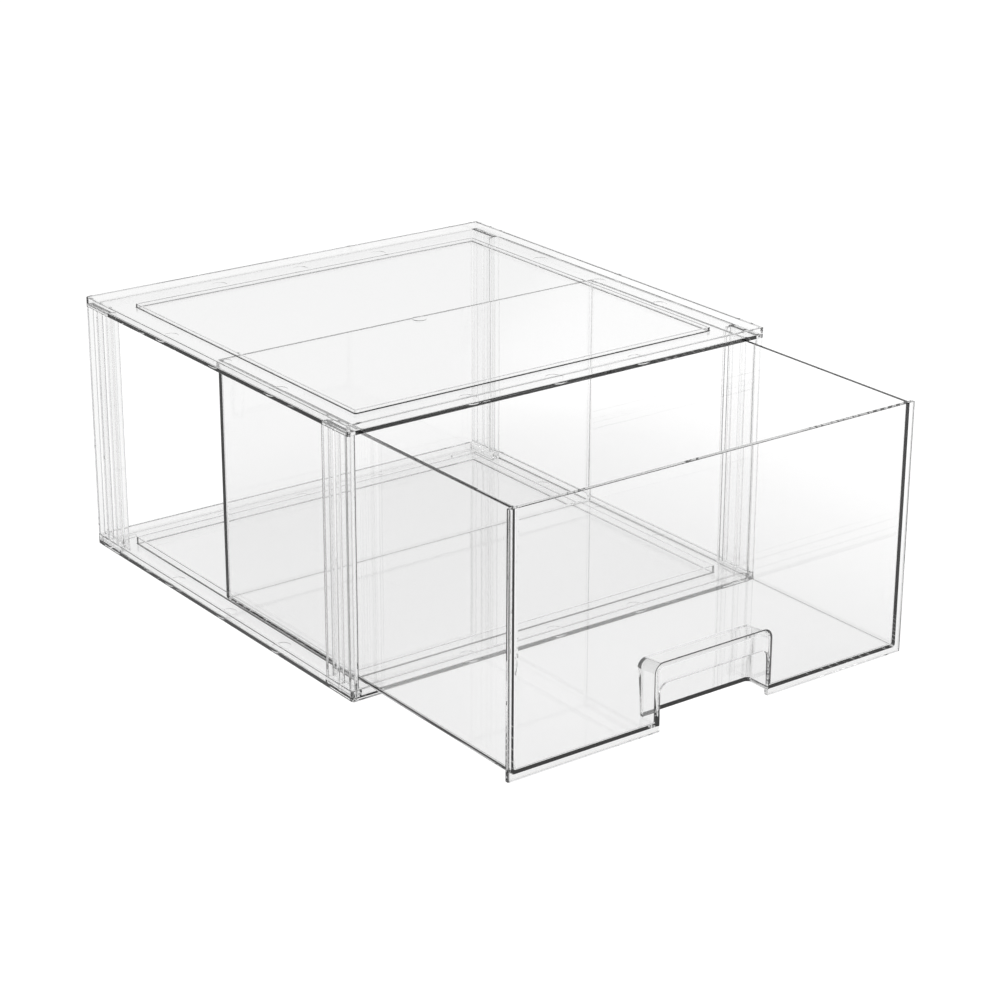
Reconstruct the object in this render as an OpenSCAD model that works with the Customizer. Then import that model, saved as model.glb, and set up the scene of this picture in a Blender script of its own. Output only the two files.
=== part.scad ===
// Stackable drawer box of clear moulded plastic: two identical-height tray plates,
// four comb-section corner posts and one drawer with a finger pocket.
// Millimetres. +Z up, the drawer opens towards -Y, +X is to the right of the front.
// The origin is in the middle of the bottom plate's underside; only the lugs lie lower.

/* [Cabinet] */
// Width of the cabinet
cabinet_w = 300; // [200:1:420]
// Depth of the cabinet, without the drawer front
cabinet_d = 294; // [200:1:420]
// Height from the underside of the bottom plate to the top
cabinet_h = 165; // [90:1:320]
// Height of each plate's rim
plate_h = 6.6; // [5.6:0.1:10]
// Thickness of a plate's sheet
sheet_t = 1.9; // [1.4:0.1:2.6]
// Thickness of the rim that stands round a plate
rim_t = 2.1; // [1.5:0.1:2.6]
// Radius of a plate's corners in plan
plate_corner_r = 1.5; // [0.8:0.1:4]

/* [Plate ribs] */
// Distance of the top plate's rib from the side edges
top_rib_x = 21.3; // [16:0.1:40]
// Distance of the top plate's rib from the front and back edges
top_rib_y = 24.5; // [18:0.1:40]
// Height of the top plate's rib over the sheet
top_rib_h = 2.3; // [1:0.1:2.8]
// Distance of the bottom plate's rib from the side edges. The drawer runs on this rib
bottom_rib_x = 16.8; // [15:0.1:20]
// Distance of the bottom plate's rib from the front and back edges
bottom_rib_y = 19.5; // [15:0.5:24]
// Thickness of a rib
rib_t = 1.5; // [0.8:0.1:2.4]
// Outer radius of a rib's corners in plan
rib_r = 1.2; // [0.6:0.1:6]

/* [Stacking lugs] */
// How far the lugs reach down from the bottom plate
lug_h = 2; // [1.2:0.1:3.6]
// Length of each leg of a lug
lug_leg = 22; // [12:1:40]
// Thickness of a lug
lug_t = 2; // [1.4:0.1:4]
// Play between a lug and the rim of the box below
lug_play = 1; // [0.4:0.1:3]

/* [Corner posts] */
// Length of the comb section along the side of the cabinet
post_d = 25.5; // [18:0.5:40]
// Depth of the comb section, from the side face inwards
post_w = 5.5; // [5:0.1:7]
// Thickness of each of the three fins
fin_t = 2.2; // [1.4:0.1:3]
// Thickness of the web that joins the fins
web_t = 2.2; // [1.4:0.1:3]
// How far the guide fin reaches in from the side face
guide_reach = 8.3; // [6:0.1:12]
// Distance of a post from the front or back face
post_setback = 0.9; // [0.4:0.1:3]
// Length of the tenon at the foot of a post; the one at its head fills the sheet
tenon_h = 4.3; // [2.5:0.1:4.5]
// Play round a tenon in its socket
tenon_play = 0.15; // [0.1:0.05:0.4]
// Wall of the socket block round a tenon
socket_t = 1.8; // [1.2:0.1:3]

/* [Drawer] */
// Overall depth of the drawer, front panel included
drawer_d = 290; // [196:1:416]
// Thickness of the front panel
front_t = 3; // [2.2:0.1:4.5]
// Thickness of the side and back walls
wall_t = 2.1; // [1.5:0.1:3]
// Thickness of the drawer floor
floor_t = 2; // [1.5:0.1:3]
// How far the front panel hangs below the floor, as the closing stop
front_drop = 3; // [2:0.1:4.5]
// How far the front panel stands out past each side wall
front_overhang = 3; // [1:0.1:5]
// Radius of the front panel's upright edges
front_edge_r = 0.5; // [0.2:0.1:1]
// Play between the drawer and each guide fin
drawer_side_play = 2.4; // [0.4:0.1:3]
// Running gap under the drawer floor
drawer_run_gap = 0.3; // [0.2:0.05:0.6]
// Gap between the drawer and the top plate
drawer_top_gap = 0.4; // [0.3:0.1:3]
// Outer radius of the upright corners
drawer_corner_r = 1.2; // [0.6:0.1:4]
// Inner radius of the upright corners
drawer_inner_r = 2; // [0.8:0.1:6]
// Radius along the foot of the drawer's sides and back
drawer_foot_r = 1.9; // [0.6:0.1:2.2]
// Distance from the cabinet's front face to the drawer's front face, as it stands
drawer_out = 136.3; // [20:0.1:180]

/* [Finger pocket] */
// Clear width between the pocket's side walls
pocket_w = 79; // [60:0.5:110]
// Clear depth behind the front panel
pocket_d = 14; // [10:0.5:24]
// Clear height over the underside of the drawer floor, at the front
pocket_h = 34.9; // [28:0.1:50]
// How much lower the pocket's roof is at the back
pocket_draft = 1.6; // [0.4:0.1:3]
// Wall of the pocket
pocket_wall = 2; // [1.4:0.1:3]
// Height of the lip that the fingers pull on
pocket_lip_h = 9.4; // [5:0.1:12]
// Inner radius of the pocket's upper corners
pocket_top_r = 3.4; // [2:0.1:8]
// Inner radius of the pocket's upright rear corners
pocket_rear_r = 3; // [2:0.1:8]
// Radius of the upper corners of the opening in the front panel
mouth_r = 6; // [3:0.1:9]

/* [Moulding marks] */
// Diameter of the round ejector marks under the plates
ejector_d = 10; // [6:0.5:14]
// Distance between neighbouring ejector marks
ejector_pitch = 61; // [40:1:80]
// Diameter of the gate mark in the middle of the top plate
gate_d = 9; // [5:0.5:14]
// Depth of the ejector marks and height of the gate mark
mark_h = 0.3; // [0.15:0.05:0.6]

/* [Hidden] */

clear_plastic = [0.93, 0.95, 0.96, 0.4];
arc_fn = 48;
// Overshoot of every cut, so that no face is left half cut
over = 1;

top_z = cabinet_h - plate_h;
post_z0 = plate_h;
post_len = top_z - post_z0;

// The comb section stands this far from the side face where it enters a plate
tenon_u0 = rim_t + tenon_play;
socket_w = post_w + tenon_play + socket_t;
socket_d = post_setback + post_d + tenon_play + socket_t;

drawer_w = cabinet_w - 2 * (guide_reach + drawer_side_play);
front_w = drawer_w + 2 * front_overhang;
drawer_z0 = post_z0 + drawer_run_gap;
drawer_h = top_z - drawer_top_gap - drawer_z0;
drawer_y0 = -cabinet_d / 2 - drawer_out;
// The tub starts in the middle of the front panel's thickness
tub_d = drawer_d - front_t / 2;
cavity_d = drawer_d - front_t - wall_t;
mouth_h = pocket_h - pocket_lip_h;

// Rectangle with round corners, centred
module round_rect(w, d, r) {
    square([w - 2 * r, d], center = true);
    square([w, d - 2 * r], center = true);
    for (sx = [-1, 1], sy = [-1, 1])
        translate([sx * (w / 2 - r), sy * (d / 2 - r)])
            circle(r = r, $fn = arc_fn);
}

// Arch: flat foot, round upper corners. Its foot is at y = -below, its crown at y = h
module arch(w, h, r, below) {
    translate([-w / 2, -below])
        square([w, h + below - r]);
    translate([-w / 2 + r, -below])
        square([w - 2 * r, h + below]);
    for (sx = [-1, 1])
        translate([sx * (w / 2 - r), h - r])
            circle(r = r, $fn = arc_fn);
}

// Places its children in all four corners of the cabinet, mirrored from the front left
module at_corners() {
    for (sx = [0, 1], sy = [0, 1])
        mirror([sx, 0, 0])
            mirror([0, sy, 0])
                translate([-cabinet_w / 2, -cabinet_d / 2, 0])
                    children();
}

// Comb section in the front left corner: x runs in from the side face, y back from the
// front face. u0 is where the fins start and grow widens the section for a socket
module comb(u0, grow) {
    translate([post_w - web_t - grow, post_setback - grow])
        square([web_t + 2 * grow, post_d + 2 * grow]);
    for (i = [0:2])
        translate([u0 - grow, post_setback + i * (post_d - fin_t) / 2 - grow])
            square([post_w - u0 + 2 * grow, fin_t + 2 * grow]);
}

// Guide fin: the fin nearest the middle of the cabinet reaches in to steer the drawer
module guide_fin() {
    translate([post_w - web_t / 2, post_setback + post_d - fin_t])
        square([guide_reach - post_w + web_t / 2, fin_t]);
}

// A row of round marks between rim and rib, in the sheet's underside
module ejector_marks(inset, across) {
    for (i = [-1:1], side = [-1, 1])
        translate([i * ejector_pitch, side * (across - inset) / 2, -over])
            cylinder(d = ejector_d, h = over + mark_h, $fn = arc_fn);
}

// Tray plate: a flat sheet with a rim standing round its edge and a rib round its middle
module tray_plate(rib_x, rib_y, rib_h) {
    rib_w = cabinet_w - 2 * rib_x;
    rib_d = cabinet_d - 2 * rib_y;
    difference() {
        linear_extrude(plate_h)
            round_rect(cabinet_w, cabinet_d, plate_corner_r);
        translate([0, 0, sheet_t])
            linear_extrude(plate_h)
                round_rect(cabinet_w - 2 * rim_t, cabinet_d - 2 * rim_t, plate_corner_r / 2);
        ejector_marks(rib_y, cabinet_d);
        rotate([0, 0, 90])
            ejector_marks(rib_x, cabinet_w);
    }
    translate([0, 0, sheet_t / 2])
        linear_extrude(sheet_t / 2 + rib_h)
            difference() {
                round_rect(rib_w, rib_d, rib_r);
                round_rect(rib_w - 2 * rib_t, rib_d - 2 * rib_t, rib_r / 2);
            }
}

module top_plate() {
    color(clear_plastic)
        translate([0, 0, top_z]) {
            difference() {
                tray_plate(top_rib_x, top_rib_y, top_rib_h);
                // The posts' heads fill these openings in the sheet
                at_corners()
                    translate([0, 0, -over])
                        linear_extrude(over + sheet_t + tenon_play)
                            comb(tenon_u0, tenon_play);
            }
            translate([0, 0, sheet_t - over])
                cylinder(d = gate_d, h = over + mark_h, $fn = arc_fn);
        }
}

module bottom_plate() {
    lug_w = cabinet_w - 2 * (rim_t + lug_play);
    lug_d = cabinet_d - 2 * (rim_t + lug_play);
    color(clear_plastic) {
        difference() {
            union() {
                tray_plate(bottom_rib_x, bottom_rib_y, plate_h - sheet_t);
                // Solid blocks that hold the posts' feet
                at_corners()
                    translate([rim_t / 2, rim_t / 2, sheet_t / 2])
                        cube([socket_w - rim_t / 2, socket_d - rim_t / 2, plate_h - sheet_t / 2]);
            }
            at_corners()
                translate([0, 0, plate_h - tenon_h - tenon_play])
                    linear_extrude(tenon_h + tenon_play + over)
                        comb(tenon_u0, tenon_play);
        }
        // Lugs that drop inside the rim of the box below
        for (sx = [0, 1], sy = [0, 1])
            mirror([sx, 0, 0])
                mirror([0, sy, 0])
                    translate([-lug_w / 2, -lug_d / 2, -lug_h]) {
                        cube([lug_leg, lug_t, lug_h + sheet_t / 2]);
                        cube([lug_t, lug_leg, lug_h + sheet_t / 2]);
                    }
    }
}

// Post of the front left corner, with a tenon at each end
module post() {
    color(clear_plastic)
        translate([-cabinet_w / 2, -cabinet_d / 2, 0]) {
            translate([0, 0, post_z0])
                linear_extrude(post_len) {
                    comb(0, 0);
                    guide_fin();
                }
            translate([0, 0, post_z0 - tenon_h])
                linear_extrude(tenon_h + post_len + sheet_t)
                    comb(tenon_u0, 0);
        }
}

module post_front_left() post();
module post_front_right() mirror([1, 0, 0]) post();
module post_back_left() mirror([0, 1, 0]) post();
module post_back_right() mirror([1, 0, 0]) mirror([0, 1, 0]) post();

// Block in the shape of the finger pocket, grown by its wall: y = 0 is the back of the
// front panel, z = 0 the underside of the floor. Its roof falls towards the back
module pocket_form(grow, front, below) {
    w = pocket_w + 2 * grow;
    depth = pocket_d + grow;
    crown = pocket_h + grow;
    fall = pocket_draft / pocket_d;
    intersection() {
        translate([0, depth, 0])
            rotate([90, 0, 0])
                linear_extrude(depth + front)
                    arch(w, crown + front * fall, pocket_top_r + grow, below);
        translate([0, 0, -below])
            linear_extrude(crown + below + over)
                arch(w, depth, pocket_rear_r + grow, front);
        rotate([90, 0, 90])
            translate([0, 0, -w])
                linear_extrude(2 * w)
                    polygon([
                        [-front, -below],
                        [depth, -below],
                        [depth, crown - depth * fall],
                        [-front, crown + front * fall]
                    ]);
    }
}

// Outer block of the tub, round along the foot of its sides and back
module tub_block() {
    intersection() {
        translate([0, front_t / 2 + tub_d / 2, 0])
            linear_extrude(drawer_h)
                round_rect(drawer_w, tub_d, drawer_corner_r);
        translate([0, drawer_d, 0])
            rotate([90, 0, 0])
                linear_extrude(drawer_d)
                    mirror([0, 1, 0])
                        arch(drawer_w, 0, drawer_foot_r, drawer_h + over);
        rotate([90, 0, 90])
            translate([0, 0, -drawer_w])
                linear_extrude(2 * drawer_w)
                    mirror([0, 1, 0])
                        arch(2 * drawer_d, 0, drawer_foot_r, drawer_h + over);
    }
}

module drawer() {
    color(clear_plastic)
        translate([0, drawer_y0, drawer_z0])
            difference() {
                union() {
                    difference() {
                        union() {
                            tub_block();
                            // The front panel hangs below the floor and stops against the bottom plate
                            translate([0, front_t / 2, -front_drop])
                                linear_extrude(drawer_h + front_drop)
                                    round_rect(front_w, front_t, front_edge_r);
                        }
                        translate([0, front_t + cavity_d / 2, floor_t])
                            linear_extrude(drawer_h)
                                round_rect(drawer_w - 2 * wall_t, cavity_d, drawer_inner_r);
                    }
                    translate([0, front_t, 0])
                        pocket_form(pocket_wall, front_t / 2, 0);
                }
                translate([0, front_t, 0])
                    pocket_form(0, 0, front_drop + over);
                // Opening in the front panel, under the lip
                translate([0, front_t + over, 0])
                    rotate([90, 0, 0])
                        linear_extrude(front_t + 2 * over)
                            arch(pocket_w, mouth_h, mouth_r, front_drop + over);
            }
}

top_plate();
bottom_plate();
post_front_left();
post_front_right();
post_back_left();
post_back_right();
drawer();
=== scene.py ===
"""Clear stackable drawer box: its finished look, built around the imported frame."""

import logging
import math
from collections.abc import Callable, Sequence
from dataclasses import dataclass, field
from enum import Enum

import bmesh
import bpy
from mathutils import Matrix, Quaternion, Vector


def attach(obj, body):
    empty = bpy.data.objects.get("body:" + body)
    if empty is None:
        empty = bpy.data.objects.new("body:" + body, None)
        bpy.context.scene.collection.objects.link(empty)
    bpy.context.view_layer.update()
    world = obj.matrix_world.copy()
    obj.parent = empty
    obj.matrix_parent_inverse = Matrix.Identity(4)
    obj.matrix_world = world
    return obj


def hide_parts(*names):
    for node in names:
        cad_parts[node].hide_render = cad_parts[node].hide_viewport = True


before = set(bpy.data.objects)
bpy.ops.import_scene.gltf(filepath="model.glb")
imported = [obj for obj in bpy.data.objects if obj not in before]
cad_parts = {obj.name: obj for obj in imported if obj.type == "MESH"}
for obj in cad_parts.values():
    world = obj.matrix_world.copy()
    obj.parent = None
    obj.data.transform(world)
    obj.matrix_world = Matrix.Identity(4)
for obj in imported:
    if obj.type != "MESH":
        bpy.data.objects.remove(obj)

MM = 0.001
EDGE_LAYER = "edge"
# A face's mark: up to 1 it is how strongly an edge shows its painted shade, above the next threshold it
# takes the band of painted shade
PAINTED_BAND_FROM = 1.05
PAINTED_BAND = 2.0
ROUND_STEPS = 4
FINE_STEPS = 3
LEAST_STEPS = 2
WIDE_STEPS = 8
MOUTH_STEPS = 14
CORNER_STEPS = 8
DISC_STEPS = 40
MIN_CORNER = 0.05
# Spacing of a sweep's rings while they are bridged
RING_PITCH = 400.0
# Distances that count as none: between points of one mesh, and when edges are picked out
SAME = 1e-4
NEAR = 1e-3
SLACK = 0.1
# How far a cut reaches past the plastic, and how deep an added mark is rooted in it
OVER = 1.0
ROOT = 0.5
SHARP = math.radians(30)
FLAT = math.radians(0.5)
X, Y, Z = range(3)

log = logging.getLogger("drawer_box")
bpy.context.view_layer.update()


class Join(Enum):
    """How one solid is combined with another."""

    ADD = "UNION"
    CUT = "DIFFERENCE"


class Corner(Enum):
    """Corner of the cabinet, as the signs of x and y."""

    FRONT_LEFT = (-1, -1)
    FRONT_RIGHT = (1, -1)
    BACK_LEFT = (-1, 1)
    BACK_RIGHT = (1, 1)


# ---------------------------------------------------------------- mesh tools


@dataclass(frozen=True)
class Station:
    """One corner of a moulding's section, swept round a rectangle.

    Attributes:
        width: Size of the rectangle along x, in millimetres.
        depth: Size of the rectangle along y.
        corner: Radius of its corners in plan.
        z: Height of this corner of the section.
        rounding: Radius that the section's corner is rounded to.
        centre_y: Middle of the rectangle along y.
        edge: How strongly the rounded edge shows its painted shade.
        run: The same for the straight run from here to the next corner.
    """

    width: float
    depth: float
    corner: float
    z: float
    rounding: float = 0.0
    centre_y: float = 0.0
    edge: float = 1.0
    run: float = 0.0

    def moved(self, out: float, up: float) -> "Station":
        """Gives the same station, grown by out in plan and raised by up."""
        return Station(self.width + 2 * out, self.depth + 2 * out, max(self.corner + out, MIN_CORNER),
                       self.z + up, 0.0, self.centre_y, self.edge, self.run)

    def meets(self, other: "Station") -> bool:
        """Says whether two stations lie in the same place."""
        return abs(self.width - other.width) < SAME and abs(self.z - other.z) < SAME


def marked() -> tuple[bmesh.types.BMesh, bmesh.types.BMLayerItem]:
    """Starts a mesh with the layer of its faces' marks."""
    bm = bmesh.new()
    return bm, bm.faces.layers.float.new(EDGE_LAYER)


def direction(start: Station, end: Station) -> tuple[float, float]:
    """Gives the unit step from one station to the next.

    Args:
        start: The one station.
        end: The next.

    Returns:
        The step in plan and in height.
    """
    out, up = (end.width - start.width) / 2, end.z - start.z
    length = math.hypot(out, up)
    return out / length, up / length


def rounded(stations: Sequence[Station]) -> list[Station]:
    """Replaces each station that has a rounding by the stations of its arc.

    Args:
        stations: Corners of the section, in order.

    Returns:
        The stations of the finished section.
    """
    out: list[Station] = []
    for i, s in enumerate(stations):
        if not s.rounding:
            out.append(s)
            continue
        a, b = direction(s, stations[i - 1]), direction(s, stations[i + 1])
        r = s.rounding
        for k in range(ROUND_STEPS + 1):
            t = math.radians(90 * k / ROUND_STEPS)
            ka, kb = 1 - math.sin(t), 1 - math.cos(t)
            out.append(s.moved(r * (ka * a[0] + kb * b[0]), r * (ka * a[1] + kb * b[1])))
    return [s for s, before in zip(out, [None] + out) if before is None or not s.meets(before)]


def ring(bm: bmesh.types.BMesh, s: Station, z: float) -> list[bmesh.types.BMEdge]:
    """Draws a station's rounded rectangle.

    Args:
        bm: The mesh it is drawn in.
        s: The station.
        z: Height it is drawn at.

    Returns:
        Its loop of edges.
    """
    made = bmesh.ops.create_grid(bm, x_segments=1, y_segments=1, size=0.5)
    verts = made["verts"]
    bmesh.ops.scale(bm, vec=(s.width, s.depth, 1), verts=verts)
    bmesh.ops.translate(bm, vec=(0, s.centre_y, z), verts=verts)
    bmesh.ops.bevel(bm, geom=verts, offset=s.corner, offset_type="OFFSET", segments=CORNER_STEPS,
                    affect="VERTICES", profile=0.5, material=-1)
    face = next(iter(bm.faces))
    edges = list(face.edges)
    bmesh.ops.delete(bm, geom=[face], context="FACES_ONLY")
    return edges


def swept(stations: Sequence[Station]) -> bmesh.types.BMesh:
    """Sweeps a section round its rectangles and closes both ends with a flat face.

    The rings are bridged while they stand well apart and then let down to their own heights.

    Args:
        stations: Corners of the section, from one closing face to the other.

    Returns:
        A closed solid, in millimetres.
    """
    bm, layer = marked()
    line = rounded(stations)
    loops = [ring(bm, s, RING_PITCH * i) for i, s in enumerate(line)]
    for i in range(len(loops) - 1):
        made = bmesh.ops.bridge_loops(bm, edges=loops[i] + loops[i + 1])
        rises = abs(line[i].z - line[i + 1].z) > SAME
        widens = abs(line[i].width - line[i + 1].width) > SAME
        for f in made["faces"]:
            f[layer] = line[i].edge if rises and widens else line[i].run
    for i, s in enumerate(line):
        verts = list({v for e in loops[i] for v in e.verts})
        bmesh.ops.translate(bm, vec=(0, 0, s.z - RING_PITCH * i), verts=verts)
    for end in (loops[0], loops[-1]):
        for f in bmesh.ops.contextual_create(bm, geom=end)["faces"]:
            f[layer] = 0.0
    bmesh.ops.recalc_face_normals(bm, faces=bm.faces)
    return bm


def prism(outline: Sequence[tuple[float, float]], z0: float, z1: float) -> bmesh.types.BMesh:
    """Extrudes a flat outline upwards.

    Args:
        outline: Its corners in order, in millimetres.
        z0: Height of the foot.
        z1: Height of the top.

    Returns:
        The closed solid.
    """
    bm, _ = marked()
    face = bm.faces.new([bm.verts.new((x, y, z0)) for x, y in outline])
    made = bmesh.ops.extrude_face_region(bm, geom=[face])
    top = [g for g in made["geom"] if isinstance(g, bmesh.types.BMVert)]
    bmesh.ops.translate(bm, vec=(0, 0, z1 - z0), verts=top)
    bmesh.ops.recalc_face_normals(bm, faces=bm.faces)
    return bm


def block(low: Sequence[float], high: Sequence[float]) -> bmesh.types.BMesh:
    """Makes a plain block.

    Args:
        low: Its lowest corner, in millimetres.
        high: Its highest corner.

    Returns:
        The closed solid.
    """
    bm, _ = marked()
    made = bmesh.ops.create_cube(bm, size=1.0)
    size = [b - a for a, b in zip(low, high)]
    middle = [(a + b) / 2 for a, b in zip(low, high)]
    bmesh.ops.scale(bm, vec=size, verts=made["verts"])
    bmesh.ops.translate(bm, vec=middle, verts=made["verts"])
    return bm


def disc(x: float, y: float, z0: float, z1: float, diameter: float, edge: float) -> bmesh.types.BMesh:
    """Makes a flat round block, as a gate or an ejector pin leaves.

    Args:
        x: Place of its middle, in millimetres.
        y: The same along y.
        z0: Height of its foot.
        z1: Height of its top.
        diameter: Its diameter.
        edge: How strongly its rim shows its painted shade.

    Returns:
        The closed solid.
    """
    bm, layer = marked()
    made = bmesh.ops.create_cone(bm, cap_ends=True, cap_tris=False, segments=DISC_STEPS,
                                 radius1=diameter / 2, radius2=diameter / 2, depth=z1 - z0)
    bmesh.ops.translate(bm, vec=(x, y, (z0 + z1) / 2), verts=made["verts"])
    for f in bm.faces:
        f[layer] = edge if abs(f.normal.z) < NEAR else 0.0
    return bm


def round_edges(bm: bmesh.types.BMesh, radius: float, wanted: Callable[[bmesh.types.BMEdge], bool],
                edge: float = 1.0, steps: int = ROUND_STEPS) -> None:
    """Rounds the edges that a test picks out and marks the new faces for the edge's painted shade.

    Args:
        bm: The solid.
        radius: Radius of the rounding, in millimetres.
        wanted: Says of an edge whether it is rounded.
        edge: How strongly the edge shows its painted shade.
        steps: Facets across the rounding.
    """
    layer = bm.faces.layers.float[EDGE_LAYER]
    picked = [e for e in bm.edges if len(e.link_faces) == 2 and wanted(e)]
    made = bmesh.ops.bevel(bm, geom=picked, offset=radius, offset_type="OFFSET", segments=steps,
                           affect="EDGES", profile=0.5, material=-1, clamp_overlap=False)
    for f in made["faces"]:
        f[layer] = edge


def lowest(e: bmesh.types.BMEdge, axis: int) -> float:
    """Gives the lowest coordinate of an edge along an axis."""
    return min(v.co[axis] for v in e.verts)


def highest(e: bmesh.types.BMEdge, axis: int) -> float:
    """Gives the highest coordinate of an edge along an axis."""
    return max(v.co[axis] for v in e.verts)


def span(e: bmesh.types.BMEdge, axis: int) -> float:
    """Gives how far an edge runs along an axis."""
    return highest(e, axis) - lowest(e, axis)


def is_upright(e: bmesh.types.BMEdge) -> bool:
    """Says whether an edge runs straight up."""
    return span(e, Z) > SAME and math.hypot(span(e, X), span(e, Y)) < SAME


def is_sharp(e: bmesh.types.BMEdge) -> bool:
    """Says whether two faces meet in an edge at more than thirty degrees."""
    return e.calc_face_angle(0.0) > SHARP


def linked(name: str, bm: bmesh.types.BMesh) -> bpy.types.Object:
    """Turns a bmesh into a linked object.

    Args:
        name: Name of the object.
        bm: Its mesh, which is freed.

    Returns:
        The object.
    """
    mesh = bpy.data.meshes.new(name)
    bm.to_mesh(mesh)
    bm.free()
    obj = bpy.data.objects.new(name, mesh)
    bpy.context.scene.collection.objects.link(obj)
    return obj


class Solid:
    """A mesh object that other solids are added to or cut from."""

    def __init__(self, name: str, bm: bmesh.types.BMesh) -> None:
        """Makes the object from a finished bmesh, which is freed."""
        self.name = name
        self.obj = linked(name, bm)

    def combine(self, how: Join, *tools: bmesh.types.BMesh) -> None:
        """Adds solids to this one or cuts them from it.

        Args:
            how: Add or cut.
            tools: The other solids, which are freed.
        """
        for bm in tools:
            tool = linked("tool", bm)
            modifier = self.obj.modifiers.new("join", "BOOLEAN")
            modifier.operation = how.value
            modifier.solver = "EXACT"
            modifier.object = tool
            graph = bpy.context.evaluated_depsgraph_get()
            made = bpy.data.meshes.new_from_object(self.obj.evaluated_get(graph))
            self.obj.modifiers.clear()
            old, self.obj.data = self.obj.data, made
            bpy.data.meshes.remove(old)
            bpy.data.meshes.remove(tool.data)

    def edit(self) -> bmesh.types.BMesh:
        """Gives the mesh to work on.

        Returns:
            A bmesh with its doubles and needless edges gone.
        """
        bm = bmesh.new()
        bm.from_mesh(self.obj.data)
        bmesh.ops.remove_doubles(bm, verts=bm.verts, dist=SAME)
        bmesh.ops.dissolve_degenerate(bm, edges=bm.edges, dist=SAME)
        bmesh.ops.holes_fill(bm, edges=[e for e in bm.edges if e.is_boundary], sides=4)
        layer = bm.faces.layers.float[EDGE_LAYER]
        for e in bm.edges:
            e.seam = len({round(f[layer], 2) for f in e.link_faces}) > 1
        bmesh.ops.dissolve_limit(bm, angle_limit=FLAT, verts=bm.verts, edges=bm.edges,
                                 delimit={"NORMAL", "SEAM"})
        return bm

    def store(self, bm: bmesh.types.BMesh) -> None:
        """Writes an edited mesh back and frees it."""
        bm.to_mesh(self.obj.data)
        bm.free()

    def finish(self, shift: Vector, finish: "ClearFinish", body: str, node: str) -> None:
        """Puts the solid in its place in metres, dresses it and lets it ride.

        Args:
            shift: Where its own origin stands in the frame, in millimetres.
            finish: The finish it is moulded in.
            body: The body it moves with.
            node: The frame's node that it stands for.
        """
        bm = self.edit()
        bmesh.ops.translate(bm, vec=shift, verts=bm.verts)
        bmesh.ops.scale(bm, vec=(MM, MM, MM), verts=bm.verts)
        self.store(bm)
        mesh = self.obj.data
        mesh.name = self.name
        mesh.materials.clear()
        mesh.materials.append(finish.material())
        mesh.materials.append(finish.band.material())
        # Faces marked above the threshold take the band of painted shade
        marks = mesh.attributes[EDGE_LAYER].data
        for face, mark in zip(mesh.polygons, marks):
            face.material_index = int(mark.value > PAINTED_BAND_FROM)
        mesh.shade_flat()
        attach(self.obj, body)
        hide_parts(node)
        log.info("%s: %d faces", self.name, len(mesh.polygons))


# ---------------------------------------------------------------- finishes


# A skin's handling haze and scuffs: how close the noise is and the levels it fades in over
HAZE_SCALE = 9.0
HAZE_LEVELS = (0.45, 0.75)
SCUFF_SCALE = (40.0, 900.0, 40.0)
SCUFF_LEVELS = (0.68, 0.8)
SCUFF_ROUGHNESS = 0.01
# The breaks in an edge's painted shade, and what is left of it there
BREAK_SCALE = 30.0
BREAK_LEVELS = (0.3, 0.7)
BREAK_LEAST = 0.9


class Graph:
    """Small helper that adds nodes to a node tree and links them."""

    def __init__(self, tree: bpy.types.NodeTree) -> None:
        """Keeps the tree."""
        self.tree = tree

    def add(self, kind: str, **settings: object) -> bpy.types.Node:
        """Adds a node of a kind, with its properties."""
        node = self.tree.nodes.new(kind)
        for key, value in settings.items():
            setattr(node, key, value)
        return node

    def feed(self, socket: bpy.types.NodeSocket, value: object) -> None:
        """Links a socket, or sets it to a plain value.

        Args:
            socket: The input.
            value: An output or a value.
        """
        if isinstance(value, bpy.types.NodeSocket):
            self.tree.links.new(value, socket)
        else:
            socket.default_value = value

    def math(self, operation: str, *values: object) -> bpy.types.NodeSocket:
        """Adds a Math node and gives its result."""
        node = self.add("ShaderNodeMath", operation=operation)
        for socket, value in zip(node.inputs, values):
            self.feed(socket, value)
        return node.outputs[0]

    def vector(self, operation: str, *values: object) -> bpy.types.NodeSocket:
        """Adds a Vector Math node.

        Args:
            operation: What it works out.
            values: Its inputs.

        Returns:
            Its result, a number or a vector.
        """
        node = self.add("ShaderNodeVectorMath", operation=operation)
        for socket, value in zip(node.inputs, values):
            self.feed(socket, value)
        return node.outputs["Value" if operation in ("DOT_PRODUCT", "LENGTH") else "Vector"]

    def ramp(self, value: object, low: float, high: float, start: object,
             end: object) -> bpy.types.NodeSocket:
        """Maps a value from one range to another, eased at both ends.

        Args:
            value: The value.
            low: Start of its range.
            high: End of its range.
            start: What the start becomes.
            end: What the end becomes.

        Returns:
            The mapped value.
        """
        node = self.add("ShaderNodeMapRange", interpolation_type="SMOOTHSTEP")
        for key, given in (("Value", value), ("From Min", low), ("From Max", high), ("To Min", start),
                           ("To Max", end)):
            self.feed(node.inputs[key], given)
        return node.outputs["Result"]

    def noise(self, vector: object, scale: object, detail: float) -> bpy.types.NodeSocket:
        """Adds a Noise Texture.

        Args:
            vector: Where it is read.
            scale: How close it is.
            detail: How fine it is.

        Returns:
            Its value.
        """
        node = self.add("ShaderNodeTexNoise")
        self.feed(node.inputs["Vector"], vector)
        self.feed(node.inputs["Scale"], scale)
        self.feed(node.inputs["Detail"], detail)
        return node.outputs["Fac"]


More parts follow.
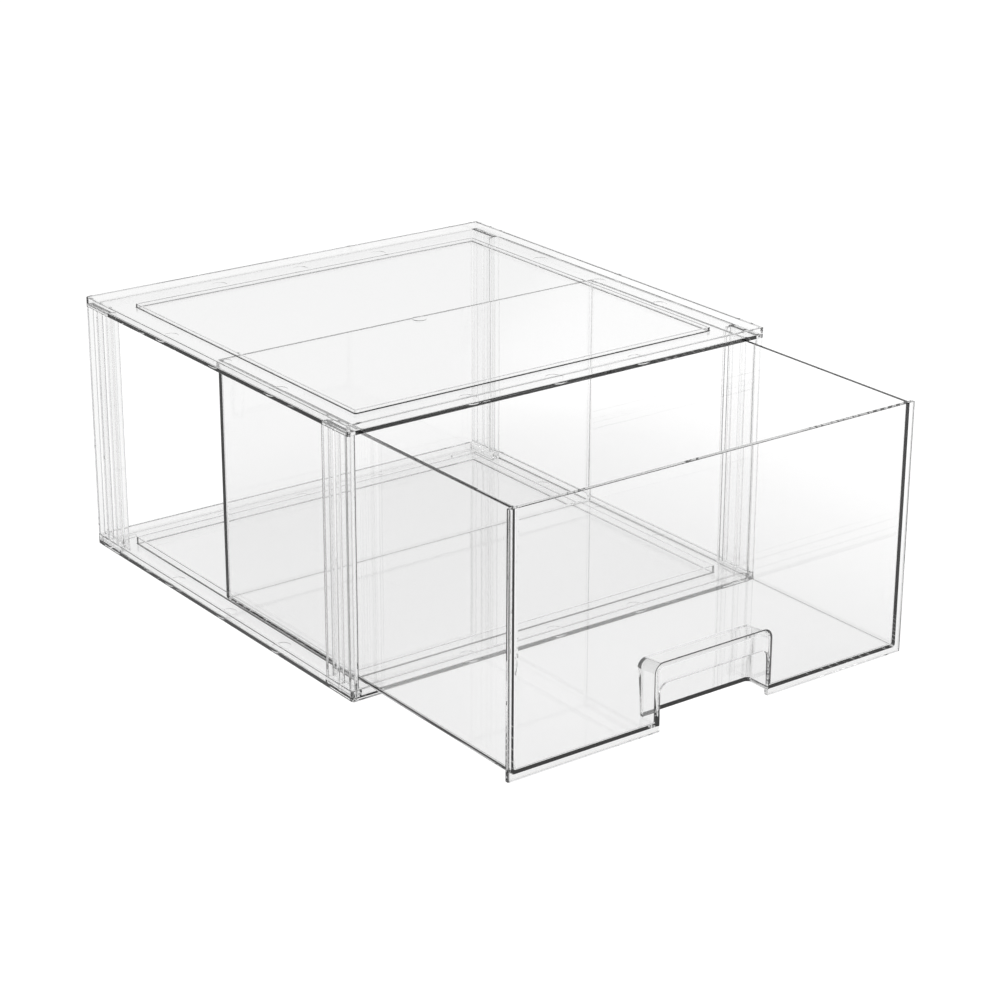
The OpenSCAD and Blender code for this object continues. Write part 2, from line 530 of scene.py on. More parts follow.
def clear_plastic(name: str, index: float, **skin: float) -> tuple[bpy.types.Material, Graph,
                                                                    bpy.types.Node, bpy.types.Node]:
    """Starts a clear plastic with a moulded skin.

    Args:
        name: Name of the material.
        index: Refractive index.
        skin: Values of the skin's inputs.

    Returns:
        The material, its graph, its shader and its skin.
    """
    made = bpy.data.materials.new(name)
    made.use_nodes = True
    graph = Graph(made.node_tree)
    shader = made.node_tree.nodes["Principled BSDF"]
    shader.inputs["IOR"].default_value = index
    shader.inputs["Transmission Weight"].default_value = 1.0
    group = graph.add("ShaderNodeGroup", node_tree=moulded_skin_group())
    for key, value in skin.items():
        group.inputs[key.replace("_", " ").title()].default_value = value
    return made, graph, shader, group


def new_group(name: str, inputs: dict[str, float], outputs: dict[str, str]) -> tuple[Graph, dict, dict]:
    """Starts a shader node group.

    Args:
        name: Name of the group.
        inputs: Names of its number inputs, with their defaults.
        outputs: Names of its outputs, with their socket types.

    Returns:
        The group's graph, its inputs by name and its outputs by name.
    """
    tree = bpy.data.node_groups.new(name, "ShaderNodeTree")
    for key, value in inputs.items():
        tree.interface.new_socket(key, in_out="INPUT", socket_type="NodeSocketFloat").default_value = value
    for key, kind in outputs.items():
        tree.interface.new_socket(key, in_out="OUTPUT", socket_type=kind)
    graph = Graph(tree)
    inner, outer = graph.add("NodeGroupInput"), graph.add("NodeGroupOutput")
    return graph, {k: inner.outputs[k] for k in inputs}, {k: outer.inputs[k] for k in outputs}


def moulded_skin_group() -> bpy.types.NodeTree:
    """Builds the group for a moulded skin: flow ripples, handling haze and fine scuffs.

    Returns:
        The group, with the skin's roughness and height.
    """
    if "moulded_skin" in bpy.data.node_groups:
        return bpy.data.node_groups["moulded_skin"]
    graph, given, out = new_group(
        "moulded_skin",
        {"Ripple Scale": 14.0, "Gloss": 0.01, "Haze": 0.02},
        {"Roughness": "NodeSocketFloat", "Height": "NodeSocketFloat"})
    place = graph.add("ShaderNodeTexCoord").outputs["Object"]
    ripple = graph.noise(place, given["Ripple Scale"], 1.0)
    cloud = graph.noise(place, HAZE_SCALE, 3.0)
    stretch = graph.add("ShaderNodeMapping")
    graph.feed(stretch.inputs["Vector"], place)
    graph.feed(stretch.inputs["Scale"], SCUFF_SCALE)
    scuff = graph.ramp(graph.noise(stretch.outputs[0], 1.0, 2.0), *SCUFF_LEVELS, 0.0, 1.0)
    haze = graph.math("MULTIPLY", graph.ramp(cloud, *HAZE_LEVELS, 0.0, 1.0), given["Haze"])
    scuffed = graph.math("MULTIPLY_ADD", scuff, SCUFF_ROUGHNESS, haze)
    graph.feed(out["Roughness"], graph.math("ADD", given["Gloss"], scuffed))
    graph.feed(out["Height"], ripple)
    return graph.tree


def painted_edge_shade_group() -> bpy.types.NodeTree:
    """Builds the group for an edge's painted shade: how grey its rounding is painted and how matt it is.

    Returns:
        The group, with the edge's mask, colour and roughness.
    """
    if "worn_edge" in bpy.data.node_groups:
        return bpy.data.node_groups["worn_edge"]
    graph, given, out = new_group(
        "worn_edge",
        {"Grey": 0.5, "Matt": 0.2, "Share": 1.0},
        {"Mask": "NodeSocketFloat", "Colour": "NodeSocketColor", "Roughness": "NodeSocketFloat"})
    mark = graph.add("ShaderNodeAttribute", attribute_name=EDGE_LAYER).outputs["Fac"]
    place = graph.add("ShaderNodeTexCoord").outputs["Object"]
    broken = graph.ramp(graph.noise(place, BREAK_SCALE, 2.0), *BREAK_LEVELS, BREAK_LEAST, 1.0)
    mask = graph.math("MULTIPLY", graph.math("MULTIPLY", mark, broken), given["Share"])
    mix = graph.add("ShaderNodeMix", data_type="RGBA")
    graph.feed(mix.inputs[0], mask)
    graph.feed(mix.inputs[6], (1.0, 1.0, 1.0, 1.0))
    tone = graph.add("ShaderNodeCombineColor")
    for channel in tone.inputs[:3]:
        graph.feed(channel, given["Grey"])
    graph.feed(mix.inputs[7], tone.outputs[0])
    graph.feed(out["Mask"], mask)
    graph.feed(out["Colour"], mix.outputs[2])
    graph.feed(out["Roughness"], graph.math("MULTIPLY", mask, given["Matt"]))
    return graph.tree


@dataclass(frozen=True)
class PaintedShadeBand:
    """Band of painted shade inside a clear edge: dark where it is seen through the plastic.

    Attributes:
        name: Name of the material.
        grey: Tone of the band.
        roughness: Roughness of its grain.
        sheen: How much it reflects.
        strength: How much of the light the band takes.
        index: Refractive index of the plastic round it.
        haze: Roughness of that plastic where it has been handled.
    """

    name: str = "satin_band_plastic"
    grey: float = 0.02
    roughness: float = 0.35
    sheen: float = 0.1
    strength: float = 0.9
    index: float = 1.59
    haze: float = 0.02

    def material(self) -> bpy.types.Material:
        """Builds the material once.

        Returns:
            The new material, or the one that is there.
        """
        found = bpy.data.materials.get(self.name)
        if found:
            return found
        made, graph, clear, skin = clear_plastic(self.name, self.index, haze=self.haze)
        output = made.node_tree.nodes["Material Output"]
        graph.feed(clear.inputs["Roughness"], skin.outputs["Roughness"])
        dark = graph.add("ShaderNodeBsdfPrincipled")
        dark.inputs["Base Color"].default_value = (self.grey, self.grey, self.grey, 1.0)
        dark.inputs["Roughness"].default_value = self.roughness
        dark.inputs["Specular IOR Level"].default_value = self.sheen
        inside = graph.add("ShaderNodeNewGeometry").outputs["Backfacing"]
        mix = graph.add("ShaderNodeMixShader")
        mark = graph.add("ShaderNodeAttribute", attribute_name=EDGE_LAYER).outputs["Fac"]
        taken = graph.math("MULTIPLY", graph.math("SUBTRACT", mark, 1.0), self.strength)
        graph.feed(mix.inputs[0], graph.math("MULTIPLY", inside, taken))
        graph.feed(mix.inputs[1], clear.outputs[0])
        graph.feed(mix.inputs[2], dark.outputs[0])
        graph.feed(output.inputs["Surface"], mix.outputs[0])
        return made


@dataclass(frozen=True)
class ClearFinish:
    """Clear moulded plastic.

    Attributes:
        name: Name of the material.
        slot: Name of a material slot; not used.
        index: Refractive index.
        loss: Light lost inside the plastic, for each metre.
        gloss: Roughness of the polished skin.
        haze: Extra roughness where it has been handled.
        ripple_scale: How close the flow ripples are.
        ripple: Strength of the ripples.
        ripple_depth: Depth of the ripples, in metres.
        edge_grey: Grey painted on a rounded edge as shade: what it lets through.
        edge_matt: Roughness of a rounded edge.
        far_edge: Share of the edge's painted shade that shows from within the plastic.
        band: The band of painted shade on the faces marked for it.
    """

    name: str
    slot: str
    index: float = 1.59
    loss: float = 5.0
    gloss: float = 0.0
    haze: float = 0.01
    ripple_scale: float = 14.0
    ripple: float = 0.02
    ripple_depth: float = 0.001
    edge_grey: float = 0.35
    edge_matt: float = 0.05
    far_edge: float = 0.4
    band: PaintedShadeBand = field(default_factory=PaintedShadeBand)

    def material(self) -> bpy.types.Material:
        """Builds the material once.

        Returns:
            The new material, or the one that is there.
        """
        found = bpy.data.materials.get(self.name)
        if found:
            return found
        made, graph, shader, skin = clear_plastic(self.name, self.index, haze=self.haze,
                                                  gloss=self.gloss, ripple_scale=self.ripple_scale)
        output = made.node_tree.nodes["Material Output"]
        edge = graph.add("ShaderNodeGroup", node_tree=painted_edge_shade_group())
        edge.inputs["Grey"].default_value = self.edge_grey
        edge.inputs["Matt"].default_value = self.edge_matt
        within = graph.add("ShaderNodeNewGeometry").outputs["Backfacing"]
        graph.feed(edge.inputs["Share"], graph.math("MULTIPLY_ADD", within, self.far_edge - 1.0, 1.0))
        # Rounded edges get a grey base colour, painted as shade
        graph.feed(shader.inputs["Base Color"], edge.outputs["Colour"])
        graph.feed(shader.inputs["Roughness"],
                   graph.math("ADD", skin.outputs["Roughness"], edge.outputs["Roughness"]))
        bump = graph.add("ShaderNodeBump")
        bump.inputs["Strength"].default_value = self.ripple
        bump.inputs["Distance"].default_value = self.ripple_depth
        graph.feed(bump.inputs["Height"], skin.outputs["Height"])
        graph.feed(shader.inputs["Normal"], bump.outputs["Normal"])
        inside = graph.add("ShaderNodeVolumeAbsorption")
        inside.inputs["Color"].default_value = (0.0, 0.0, 0.0, 1.0)
        inside.inputs["Density"].default_value = self.loss
        graph.feed(output.inputs["Volume"], inside.outputs["Volume"])
        return made


# ---------------------------------------------------------------- plates


@dataclass
class TrayPlate:
    """Tray plate: a sheet with a rim round its edge and a rib round its middle, in millimetres."""

    name: str
    node: str
    foot_z: float
    finish: ClearFinish
    inset_x: float
    inset_y: float
    rib_height: float
    width: float = 300.0
    depth: float = 294.0
    height: float = 6.6
    sheet: float = 1.9
    rim: float = 2.1
    corner: float = 1.5
    rib: float = 1.5
    rib_corner: float = 1.2
    top_round: float = 0.5
    inner_round: float = 0.5
    foot_round: float = 0.4
    fillet: float = 0.9
    rib_round: float = 0.3
    rib_fillet: float = 0.5
    # The *_edge values say how strongly each rounded edge and mark rim shows its painted shade
    top_edge: float = 0.3
    inner_edge: float = 0.5
    foot_edge: float = 0.1
    rib_edge: float = 0.15
    rib_foot_edge: float = 0.5
    pin_diameter: float = 10.0
    pin_pitch: float = 61.0
    pin_edge: float = 0.8
    gate_diameter: float = 9.0
    gate_edge: float = 1.0
    mark_height: float = 0.3
    bottom: bool = False

    def shell(self) -> bmesh.types.BMesh:
        """Sweeps the plate's section: middle, rib, border, rim and underside.

        Returns:
            The plate without openings and marks.
        """
        h, s, top = self.height, self.sheet, self.sheet + self.rib_height
        w, d, c = self.width, self.depth, self.corner
        iw, ie, ic = w - 2 * self.rim, d - 2 * self.rim, c / 2
        rw, re, rc = w - 2 * self.inset_x, d - 2 * self.inset_y, self.rib_corner
        mw, me, mc = rw - 2 * self.rib, re - 2 * self.rib, rc / 2
        far, under = 2 * self.rib_fillet, 2 * self.foot_round
        return swept([
            Station(mw - far, me - far, mc, s),
            Station(mw, me, mc, s, self.rib_fillet, edge=self.rib_foot_edge),
            Station(mw, me, mc, top, self.rib_round, edge=self.rib_edge),
            Station(rw, re, rc, top, self.rib_round, edge=self.rib_edge),
            Station(rw, re, rc, s, self.rib_fillet, edge=self.rib_foot_edge),
            Station(iw, ie, ic, s, self.fillet, edge=0.0),
            Station(iw, ie, ic, h, self.inner_round, edge=self.inner_edge),
            Station(w, d, c, h, self.top_round, edge=self.top_edge),
            Station(w, d, c, 0.0, self.foot_round, edge=self.foot_edge),
            Station(w - under, d - under, c / 2, 0.0),
        ])

    def build(self, post: "CornerPost") -> Solid:
        """Builds the plate with the places for the posts' ends and its moulding marks.

        Args:
            post: The post whose ends the plate takes.

        Returns:
            The finished plate.
        """
        solid = Solid(self.name, self.shell())
        start, end = -OVER, self.sheet + post.play
        if self.bottom:
            start, end = self.height - post.tenon - post.play, self.height + OVER
            for corner in Corner:
                solid.combine(Join.ADD, post.socket_block(corner, self.rim / 2, self.sheet / 2,
                                                          self.height))
        for corner in Corner:
            solid.combine(Join.CUT, post.comb(corner, post.tenon_start, post.play, start, end))
        for i in (-1, 0, 1):
            for side in (-1, 1):
                at = i * self.pin_pitch
                across = side * (self.depth - self.inset_y) / 2
                along = side * (self.width - self.inset_x) / 2
                for x, y in ((at, across), (along, at)):
                    solid.combine(Join.CUT, disc(x, y, -ROOT, self.mark_height, self.pin_diameter,
                                                 self.pin_edge))
        if not self.bottom:
            solid.combine(Join.ADD, disc(0, 0, self.sheet - ROOT, self.sheet + self.mark_height,
                                         self.gate_diameter, self.gate_edge))
        return solid

    def place(self, solid: Solid) -> None:
        """Puts a finished plate in the cabinet."""
        solid.finish(Vector((0, 0, self.foot_z)), self.finish, "cabinet", self.node)


@dataclass
class Lugs:
    """L-shaped lugs under the bottom plate, which drop into the box below."""

    width: float = 293.8
    depth: float = 287.8
    leg: float = 22.0
    thick: float = 2.0
    height: float = 2.0
    root: float = 0.95
    edge_round: float = 0.3

    def solids(self) -> list[bmesh.types.BMesh]:
        """Builds the lugs.

        Returns:
            The four of them, in the plate's own place.
        """
        made = []
        for corner in Corner:
            sx, sy = corner.value
            x, y = sx * self.width / 2, sy * self.depth / 2
            outline = [(0, 0), (self.leg, 0), (self.leg, self.thick), (self.thick, self.thick),
                       (self.thick, self.leg), (0, self.leg)]
            bm = prism([(x - sx * u, y - sy * v) for u, v in outline], -self.height, self.root)
            round_edges(bm, self.edge_round,
                        lambda e: is_upright(e) or highest(e, Z) < SAME - self.height)
            made.append(bm)
        return made


# ---------------------------------------------------------------- posts


@dataclass
class CornerPost:
    """Corner post of comb section with a tenon at each end, in millimetres."""

    finish: ClearFinish
    cabinet_width: float = 300.0
    cabinet_depth: float = 294.0
    foot: float = 6.6
    head: float = 158.4
    along: float = 25.5
    inward: float = 5.5
    fin: float = 2.2
    web: float = 2.2
    reach: float = 8.3
    setback: float = 0.9
    tenon: float = 4.3
    head_tenon: float = 1.9
    tenon_start: float = 2.25
    play: float = 0.15
    socket_wall: float = 1.8
    shoulder_gap: float = 0.03
    edge_round: float = 0.4
    # outer_edge and root_edge: how strongly those upright edges show their painted shade
    outer_edge: float = 0.35
    root_edge: float = 0.6
    strip: float = 1.2
    # Corner whose post carries the band of painted shade on its strip faces
    satin: Corner = Corner.FRONT_LEFT

    def at(self, corner: Corner, outline: Sequence[tuple[float, float]]) -> list[tuple[float, float]]:
        """Turns points given from a corner inwards into points of the frame.

        Args:
            corner: The corner.
            outline: Distances from the side face and from the front or back.

        Returns:
            Their x and y.
        """
        sx, sy = corner.value
        half_w, half_d = self.cabinet_width / 2, self.cabinet_depth / 2
        return [(sx * (half_w - u), sy * (half_d - v)) for u, v in outline]

    def section(self, start: float, grow: float, reach: float) -> list[tuple[float, float]]:
        """Gives the comb's outline from the corner inwards.

        Args:
            start: Where the fins start, from the side face.
            grow: How much the outline is widened.
            reach: How far the guide fin reaches in.

        Returns:
            Its corners, in order.
        """
        g, s, t = grow, self.setback, self.fin
        back, web = self.inward - self.web - grow, self.inward + grow
        pitch = (self.along - t) / 2
        a, b, c = s, s + pitch, s + 2 * pitch
        u = start - g
        return [(u, a - g), (web, a - g), (web, c - g), (reach + g, c - g), (reach + g, c + t + g),
                (u, c + t + g), (u, c - g), (back, c - g), (back, b + t + g), (u, b + t + g), (u, b - g),
                (back, b - g), (back, a + t + g), (u, a + t + g)]

    def comb(self, corner: Corner, start: float, grow: float, z0: float, z1: float) -> bmesh.types.BMesh:
        """Extrudes the comb without its guide fin, as tenons and sockets are."""
        outline = self.section(start, grow, self.inward)
        return prism(self.at(corner, outline[:2] + outline[4:]), z0, z1)

    def socket_block(self, corner: Corner, start: float, z0: float, z1: float) -> bmesh.types.BMesh:
        """Makes the block in a plate's corner that takes a tenon.

        Args:
            corner: The corner.
            start: Where the block starts, from both outer faces.
            z0: Height of its foot.
            z1: Height of its top.

        Returns:
            The block.
        """
        u = self.inward + self.play + self.socket_wall
        v = self.setback + self.along + self.play + self.socket_wall
        (x0, y0), (x1, y1) = self.at(corner, [(start, start), (u, v)])
        return block((min(x0, x1), min(y0, y1), z0), (max(x0, x1), max(y0, y1), z1))

    def build(self, corner: Corner) -> Solid:
        """Builds the post of one corner, with its tenons.

        Args:
            corner: The corner.

        Returns:
            The finished post.
        """
        near, far = self.setback, self.setback + self.along
        outline = self.section(0.0, 0.0, self.reach)
        outline.insert(5, (self.strip, far))
        outline.insert(2, (self.inward, near + self.fin))
        body = prism(self.at(corner, outline), self.foot + self.shoulder_gap, self.head - self.shoulder_gap)
        # The strip faces of this corner's post get the band of painted shade, dark from within the plastic
        if corner is self.satin:
            strips = self.at(corner, [(self.strip / 2, far), (self.inward, near + self.fin / 2)])
            layer = body.faces.layers.float[EDGE_LAYER]
            for f in body.faces:
                if min(math.dist(f.calc_center_median().xy, p) for p in strips) < NEAR:
                    f[layer] = PAINTED_BAND
        # How strongly each upright edge shows its painted shade, by its place
        marks = {0.0: self.outer_edge, self.inward - self.web: self.root_edge, self.inward: 1.0,
                 self.reach: 1.0}
        for place, mark in marks.items():
            x = self.cabinet_width / 2 - place
            round_edges(body, self.edge_round, lambda e: is_upright(e) and is_sharp(e)
                        and abs(abs(e.verts[0].co.x) - x) < NEAR, mark)
        solid = Solid("clear_post_" + corner.name.lower(), body)
        ends = ((self.foot - self.tenon, self.foot + OVER), (self.head - OVER, self.head + self.head_tenon))
        for z0, z1 in ends:
            solid.combine(Join.ADD, self.comb(corner, self.tenon_start, 0.0, z0, z1))
        return solid

    def place(self, corner: Corner, solid: Solid) -> None:
        """Puts a finished post in the cabinet."""
        front, side = corner.name.lower().split("_")
        solid.finish(Vector((0, 0, 0)), self.finish, "cabinet", f"post_{front}_{side}")


# ---------------------------------------------------------------- drawer


@dataclass
class FingerPocket:
    """Finger pocket behind the drawer's front panel, in millimetres."""

    width: float = 79.0
    depth: float = 14.0
    height: float = 34.9
    fall: float = 1.6
    wall: float = 2.0
    lip: float = 9.4
    top_round: float = 3.4
    rear_round: float = 3.0
    mouth_round: float = 6.0
    round_edge: float = 0.25
    least_run: float = 1.0
    least_rise: float = 5.0

    def form(self, grow: float, front: float, below: float) -> bmesh.types.BMesh:
        """Makes the pocket's block, grown by its wall.

        Args:
            grow: Growth on all sides.
            front: How far it reaches into the panel.
            below: How far it reaches below the floor.

        Returns:
            The block; y = 0 is the panel's back and z = 0 the floor's underside.
        """
        half, back, top = self.width / 2 + grow, self.depth + grow, self.height + grow
        slope = self.fall / self.depth
        bm = block((-half, -front, -below), (half, back, top))
        for v in bm.verts:
            if v.co.z > 0:
                v.co.z = top - slope * v.co.y
        round_edges(bm, self.top_round + grow, self.is_upper, self.round_edge, WIDE_STEPS)
        round_edges(bm, self.rear_round + grow,
                    lambda e: lowest(e, Y) > back - NEAR and span(e, Z) > self.least_rise,
                    self.round_edge, WIDE_STEPS)
        return bm

    def is_upper(self, e: bmesh.types.BMEdge) -> bool:
        """Says whether an edge runs to the back along the upper side."""
        return lowest(e, Z) > 0 and span(e, Y) > self.least_run

    def mouth(self, thickness: float, below: float) -> bmesh.types.BMesh:
        """Makes the opening in the front panel, under the lip.

        Args:
            thickness: The panel's thickness.
            below: How far it reaches below the floor.

        Returns:
            The block to cut; y = 0 is the panel's front.
        """
        half, top = self.width / 2, self.height - self.lip
        bm = block((-half, -OVER, -below), (half, thickness + OVER, top))
        round_edges(bm, self.mouth_round, self.is_upper, self.round_edge, MOUTH_STEPS)
        return bm


@dataclass
class Drawer:
    """The drawer, moulded in one, in millimetres. Its own origin is the front's lower middle."""

    finish: ClearFinish
    pocket: FingerPocket = field(default_factory=FingerPocket)
    front_y: float = -283.3
    floor_z: float = 6.9
    width: float = 278.6
    depth: float = 290.0
    height: float = 151.1
    front: float = 3.0
    wall: float = 2.1
    floor: float = 2.0
    drop: float = 3.0
    overhang: float = 3.0
    corner: float = 1.2
    inner_corner: float = 2.0
    foot_round: float = 1.9
    floor_fillet: float = 1.2
    # foot_mark, left_rim_mark and mouth_mark say how strongly those rounded edges show their painted shade
    foot_mark: float = 0.2
    pocket_fillet: float = 1.0
    panel_round: float = 0.8
    panel_foot: float = 0.15
    rim_round: float = 0.35
    left_rim_round: float = 0.95
    left_rim_mark: float = 0.6
    mouth_edge: float = 0.3
    mouth_mark: float = 0.8

    def tub(self) -> bmesh.types.BMesh:
        """Makes the outer block of the tub.

        Returns:
            The block, rounded round its foot.
        """
        depth = self.depth - self.front / 2
        y = self.front / 2 + depth / 2
        r = self.foot_round
        return swept([Station(self.width - 2 * r, depth - 2 * r, self.corner - r, 0.0, 0.0, y),
                      Station(self.width, depth, self.corner, 0.0, r, y, self.foot_mark),
                      Station(self.width, depth, self.corner, self.height, 0.0, y)])

    def cavity(self) -> bmesh.types.BMesh:
        """Makes the room inside.

        Returns:
            The block to cut, with a fillet along the floor.
        """
        depth = self.depth - self.front - self.wall
        y = self.front + depth / 2
        w, r, c = self.width - 2 * self.wall, self.floor_fillet, self.inner_corner
        return swept([Station(w - 2 * r, depth - 2 * r, c - r, self.floor, 0.0, y),
                      Station(w, depth, c, self.floor, r, y, 0.0),
                      Station(w, depth, c, self.height + OVER, 0.0, y)])

    def panel(self) -> bmesh.types.BMesh:
        """Makes the front panel.

        Returns:
            The panel, wider than the tub and hanging below its floor.
        """
        half = self.width / 2 + self.overhang
        bm = block((-half, 0.0, -self.drop), (half, self.front, self.height))
        round_edges(bm, self.panel_round, is_upright)
        round_edges(bm, self.panel_foot, lambda e: highest(e, Z) < 0 and is_sharp(e), 0.0)
        return bm

    def build(self) -> Solid:
        """Builds the drawer with its panel and pocket.

        Returns:
            The finished drawer.
        """
        solid = Solid("clear_drawer", self.tub())
        solid.combine(Join.ADD, self.panel())
        solid.combine(Join.CUT, self.cavity())
        outer = self.pocket.form(self.pocket.wall, self.front / 2, 0.0)
        inner = self.pocket.form(0.0, 0.0, self.drop + OVER)
        for bm in (outer, inner):
            bmesh.ops.translate(bm, vec=(0, self.front, 0), verts=bm.verts)
        solid.combine(Join.ADD, outer)
        bm = solid.edit()
        self.fill_pocket_foot(bm)
        solid.store(bm)
        solid.combine(Join.CUT, inner, self.pocket.mouth(self.front, self.drop + OVER))
        bm = solid.edit()
        self.round_rim(bm)
        self.round_mouth(bm)
        solid.store(bm)
        return solid

    def fill_pocket_foot(self, bm: bmesh.types.BMesh) -> None:
        """Puts a fillet where the pocket's walls stand against the panel and gives it the band of painted
        shade.
        """
        half = self.pocket.width / 2 + self.pocket.wall + SLACK
        round_edges(bm, self.pocket_fillet,
                    lambda e: self.front - NEAR < lowest(e, Y) and highest(e, Y) < self.front + NEAR
                    and -half < lowest(e, X) and highest(e, X) < half
                    and self.floor - SLACK < lowest(e, Z) and highest(e, Z) < self.height / 2
                    and is_sharp(e), PAINTED_BAND, FINE_STEPS)

    def round_rim(self, bm: bmesh.types.BMesh) -> None:
        """Rounds the rim, most on the left wall.

        Args:
            bm: The drawer.
        """
        top, left = self.height - NEAR, self.wall - self.width / 2 + SLACK
        round_edges(bm, self.left_rim_round,
                    lambda e: lowest(e, Z) > top and is_sharp(e) and highest(e, X) < left
                    and span(e, Y) > self.depth / 2, self.left_rim_mark)
        round_edges(bm, self.rim_round, lambda e: lowest(e, Z) > top and is_sharp(e), 0.0, FINE_STEPS)

    def round_mouth(self, bm: bmesh.types.BMesh) -> None:
        """Rounds the front edges of the opening under the lip."""
        half, foot = self.pocket.width / 2 + SLACK, 2 * SLACK - self.drop
        round_edges(bm, self.mouth_edge,
                    lambda e: highest(e, Y) < NEAR and is_sharp(e) and -half < lowest(e, X)
                    and highest(e, X) < half and lowest(e, Z) > foot, self.mouth_mark, LEAST_STEPS)

    def place(self, solid: Solid) -> None:
        """Puts the finished drawer where the frame has it."""
        solid.finish(Vector((0, self.front_y, self.floor_z)), self.finish, "drawer", "drawer")


# ---------------------------------------------------------------- studio


@dataclass
class Studio:
    """Pale floor, soft light and the camera."""

    floor_z: float = -2.2
    floor_size: float = 9.0
    floor_glow: float = 0.88
    # Painted shadow round the box in the floor's glow, for rays through the plastic
    shaded_glow: float = 0.82
    # Painted shadow in the floor's reflections: darker near the box and towards the left and back
    mirrored_near: float = 0.75
    mirrored_far: float = 1.0
    mirrored_back: float = 0.5
    mirrored_fade: float = 0.3
    mirrored_turn: float = 0.35
    leftwards: tuple[float, float, float] = (-0.6, 0.8, 0.0)
    shade_middle: tuple[float, float, float] = (0.0, -0.1, 0.0)
    shade_half: tuple[float, float, float] = (0.12, 0.18, 1.0)
    shade_fade: float = 0.2
    floor_albedo: float = 0.2
    sky_back: float = 0.82
    sky_front: float = 0.4
    back_from: float = 0.8
    zenith: float = 0.35
    zenith_between: tuple[float, float] = (0.45, 0.9)
    facing: float = 36.3
    lamp_power: float = 9.0
    lamp_size: tuple[float, float] = (1.2, 0.8)
    lamp_at: tuple[float, float, float] = (-0.5, -0.4, 1.5)
    lamp_way: tuple[float, float, float] = (0.45, 0.35, -1.45)
    azimuth: float = 36.579
    elevation: float = 21.314
    roll: float = 0.2346
    lens: float = 97.589
    sensor: float = 36.0
    eye: tuple[float, float, float] = (-0.90375, -1.30120, 0.65944)
    bounces: int = 32

    def floor(self) -> None:
        """Lays the floor: white as a background; as a surface it has its own diffuse shading, and its glow
        seen through the plastic and in reflections carries a painted shadow round the box and is painted
        darker towards the left and back.
        """
        bm = bmesh.new()
        bmesh.ops.create_grid(bm, x_segments=1, y_segments=1, size=self.floor_size / 2)
        bmesh.ops.translate(bm, vec=(0, 0, self.floor_z * MM), verts=bm.verts)
        obj = linked("studio_floor", bm)
        made = bpy.data.materials.new("pale_floor")
        made.use_nodes = True
        made.node_tree.nodes.clear()
        graph = Graph(made.node_tree)
        output = graph.add("ShaderNodeOutputMaterial")
        path = graph.add("ShaderNodeLightPath").outputs
        away = self.distance_from_box(graph)
        # Painted shadow: the glow seen through the plastic is lower near the box
        level = graph.ramp(away, 0.0, self.shade_fade, self.shaded_glow, self.floor_glow)
        place = graph.add("ShaderNodeTexCoord").outputs["Object"]
        left = graph.vector("DOT_PRODUCT", place, self.leftwards)
        # Painted shadow in reflections: lower near the box and towards the left and back
        mirrored = graph.ramp(away, 0.0, self.mirrored_fade, self.mirrored_near, self.mirrored_far)
        turned = graph.ramp(left, 0.0, self.mirrored_turn, 1.0, self.mirrored_back)
        mirrored = graph.math("MULTIPLY", mirrored, turned)
        through = graph.math("MAXIMUM", graph.math("MULTIPLY", path["Is Transmission Ray"], level),
                             graph.math("MULTIPLY", path["Is Glossy Ray"], mirrored))
        glow = graph.add("ShaderNodeEmission")
        graph.feed(glow.inputs["Strength"], graph.math("MAXIMUM", path["Is Camera Ray"], through))
        matt = graph.add("ShaderNodeBsdfDiffuse")
        albedo = self.floor_albedo
        matt.inputs["Color"].default_value = (albedo, albedo, albedo, 1.0)
        both = graph.add("ShaderNodeAddShader")
        graph.feed(both.inputs[0], glow.outputs[0])
        graph.feed(both.inputs[1], matt.outputs[0])
        graph.feed(output.inputs["Surface"], both.outputs[0])
        obj.data.materials.append(made)

    def distance_from_box(self, graph: Graph) -> bpy.types.NodeSocket:
        """Measures how far a point of the floor lies outside the box's outline.

        Args:
            graph: The floor's nodes.

        Returns:
            The distance, in metres.
        """
        place = graph.add("ShaderNodeTexCoord").outputs["Object"]
        size = graph.vector("ABSOLUTE", graph.vector("SUBTRACT", place, self.shade_middle))
        beyond = graph.vector("SUBTRACT", size, self.shade_half)
        return graph.vector("LENGTH", graph.vector("MAXIMUM", beyond, (0.0, 0.0, 0.0)))

    def surroundings(self) -> None:
        """Lights the room: bright behind the box, dimmer overhead and towards the camera."""
        world = bpy.data.worlds.new("studio")
        bpy.context.scene.world = world
        world.use_nodes = True
        graph = Graph(world.node_tree)
        back = world.node_tree.nodes["Background"]
        way = graph.add("ShaderNodeTexCoord").outputs["Generated"]
        facing = math.radians(self.facing)
        ahead = graph.vector("DOT_PRODUCT", way, (math.sin(facing), math.cos(facing), 0.0))
        split = graph.add("ShaderNodeSeparateXYZ")
        graph.feed(split.inputs[0], way)
        level = graph.ramp(ahead, 0.0, self.back_from, self.sky_front, self.sky_back)
        dim = graph.ramp(split.outputs["Z"], *self.zenith_between, 1.0, self.zenith)
        path = graph.add("ShaderNodeLightPath").outputs
        lit = graph.math("MULTIPLY", level, dim)
        graph.feed(back.inputs["Color"], (1.0, 1.0, 1.0, 1.0))
        graph.feed(back.inputs["Strength"], graph.math("MAXIMUM", path["Is Camera Ray"], lit))

    def lamps(self) -> None:
        """Hangs one large soft lamp over the box."""
        lamp = bpy.data.lights.new("softbox", "AREA")
        lamp.shape = "RECTANGLE"
        lamp.size, lamp.size_y = self.lamp_size
        lamp.energy = self.lamp_power
        obj = bpy.data.objects.new("softbox", lamp)
        obj.location = self.lamp_at
        obj.rotation_mode = "QUATERNION"
        obj.rotation_quaternion = Vector(self.lamp_way).to_track_quat("-Z", "Y")
        bpy.context.scene.collection.objects.link(obj)

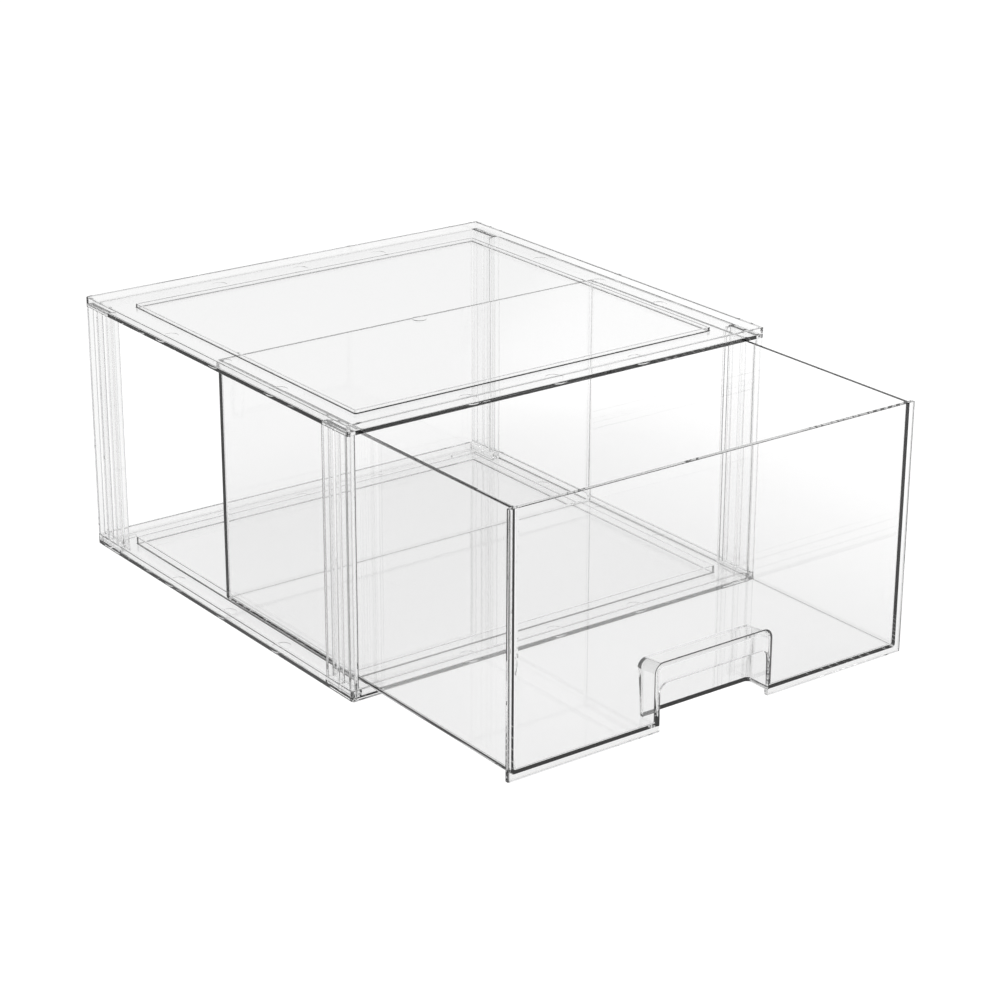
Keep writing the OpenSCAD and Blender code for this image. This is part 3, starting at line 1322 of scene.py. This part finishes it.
    def camera(self) -> None:
        """Sets the camera in front of the box, to its left and above."""
        data = bpy.data.cameras.new("camera")
        obj = bpy.data.objects.new("camera", data)
        bpy.context.scene.collection.objects.link(obj)
        a, e = math.radians(self.azimuth), math.radians(self.elevation)
        look = Vector((math.sin(a) * math.cos(e), math.cos(a) * math.cos(e), -math.sin(e)))
        obj.location = self.eye
        obj.rotation_mode = "QUATERNION"
        turn = Quaternion((0, 0, 1), math.radians(self.roll))
        obj.rotation_quaternion = look.to_track_quat("-Z", "Y") @ turn
        data.sensor_fit = "HORIZONTAL"
        data.sensor_width = self.sensor
        data.lens = self.lens
        bpy.context.scene.camera = obj

    def build(self) -> None:
        """Builds the whole studio."""
        self.floor()
        self.surroundings()
        self.lamps()
        self.camera()
        scene = bpy.context.scene
        scene.view_settings.view_transform = "Standard"
        for key in ("max_bounces", "transmission_bounces", "glossy_bounces", "transparent_max_bounces"):
            setattr(scene.cycles, key, self.bounces)


def main() -> None:
    """Builds the studio, the cabinet and the drawer."""
    logging.basicConfig(level=logging.INFO, format="%(message)s")
    plate_finish = ClearFinish("clear_plate_plastic", "clear_plate", loss=4.0)
    # The posts and the drawer have a darker grey painted on their rounded edges as shade
    post_finish = ClearFinish("clear_post_plastic", "clear_post", edge_grey=0.1, ripple=0.006)
    drawer_finish = ClearFinish("clear_drawer_plastic", "clear_drawer", edge_grey=0.15, loss=1.0)
    Studio().build()
    post = CornerPost(post_finish)
    top = TrayPlate("clear_top_plate", "top_plate", foot_z=158.4, finish=plate_finish,
                    inset_x=21.3, inset_y=24.5, rib_height=2.3)
    bottom = TrayPlate("clear_bottom_plate", "bottom_plate", foot_z=0.0, finish=plate_finish,
                       inset_x=16.8, inset_y=19.5, rib_height=4.7, bottom=True)
    top.place(top.build(post))
    solid = bottom.build(post)
    solid.combine(Join.ADD, *Lugs().solids())
    bottom.place(solid)
    for corner in Corner:
        post.place(corner, post.build(corner))
    drawer = Drawer(drawer_finish)
    drawer.place(drawer.build())


if __name__ == "__main__":
    main()
